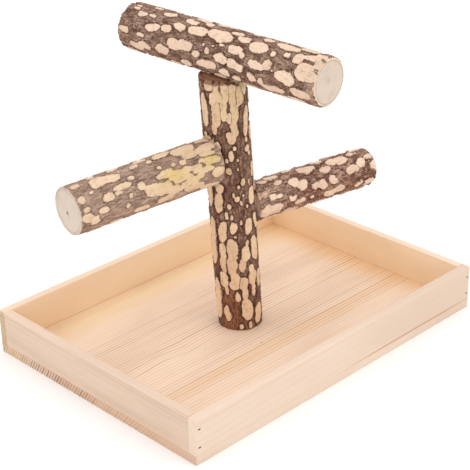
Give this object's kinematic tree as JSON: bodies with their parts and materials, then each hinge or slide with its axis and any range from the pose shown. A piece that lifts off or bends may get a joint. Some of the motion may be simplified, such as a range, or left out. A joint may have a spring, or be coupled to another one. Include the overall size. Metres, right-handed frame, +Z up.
{
  "type": "parrot play stand",
  "caption": "Tabletop bird play stand: a shallow pine tray carrying a leaning bark-on branch post with a perch across its top and one screwed into each side.",
  "frame": {"origin": "middle of the tray's underside, on the surface the stand rests on", "axes": "+Z up, +X along the tray's length towards the lower side perch, -Y towards the long board that the picture shows at the right front"},
  "size_m": [0.25, 0.18, 0.2065],
  "materials": {
    "pine": "sanded, unfinished",
    "branch_wood": "sawn and sanded",
    "bark": "rough bark with sanded knobs",
    "brad_steel": "bright wire",
    "zinc_plated_steel": "zinc plated",
    "zinc_alloy": "cast, dull"
  },
  "bodies": {
    "tray": {"tray_floor": "pine", "front_board": "pine", "back_board": "pine", "left_end_board": "pine", "right_end_board": "pine", "corner_brads": "brad_steel", "floor_brads": "brad_steel", "base_bolt": "zinc_plated_steel"},
    "post": {"post_wood": "branch_wood", "post_bark": "bark", "post_foot_insert": "zinc_alloy", "post_top_insert": "zinc_alloy", "post_left_insert": "zinc_alloy", "post_right_insert": "zinc_alloy"},
    "top_perch": {"top_perch_wood": "branch_wood", "top_perch_bark": "bark", "top_perch_bolt": "zinc_plated_steel"},
    "left_perch": {"left_perch_wood": "branch_wood", "left_perch_bark": "bark", "left_perch_bolt": "zinc_plated_steel"},
    "right_perch": {"right_perch_wood": "branch_wood", "right_perch_bark": "bark", "right_perch_bolt": "zinc_plated_steel"}
  },
  "joints": [
    {"name": "post_swivel", "type": "hinge", "parent": "tray", "child": "post", "pos_m": [0, 0, 0.006], "axis": [0, 0, 1], "range_deg": [-90, 90]},
    {"name": "top_perch_swivel", "type": "hinge", "parent": "post", "child": "top_perch", "pos_m": [-0.00631, 0.00537, 0.1754], "axis": [0.0025, -0.0296, 0.9996], "range_deg": [-90, 90]},
    {"name": "left_perch_turn", "type": "hinge", "parent": "post", "child": "left_perch", "pos_m": [-0.01773, 0.00547, 0.12238], "axis": [-0.9907, 0.1304, -0.0384], "range_deg": [-180, 180]},
    {"name": "right_perch_turn", "type": "hinge", "parent": "post", "child": "right_perch", "pos_m": [0.01031, 0.0003, 0.0866], "axis": [0.986, -0.1668, 0], "range_deg": [-180, 180]}
  ]
}
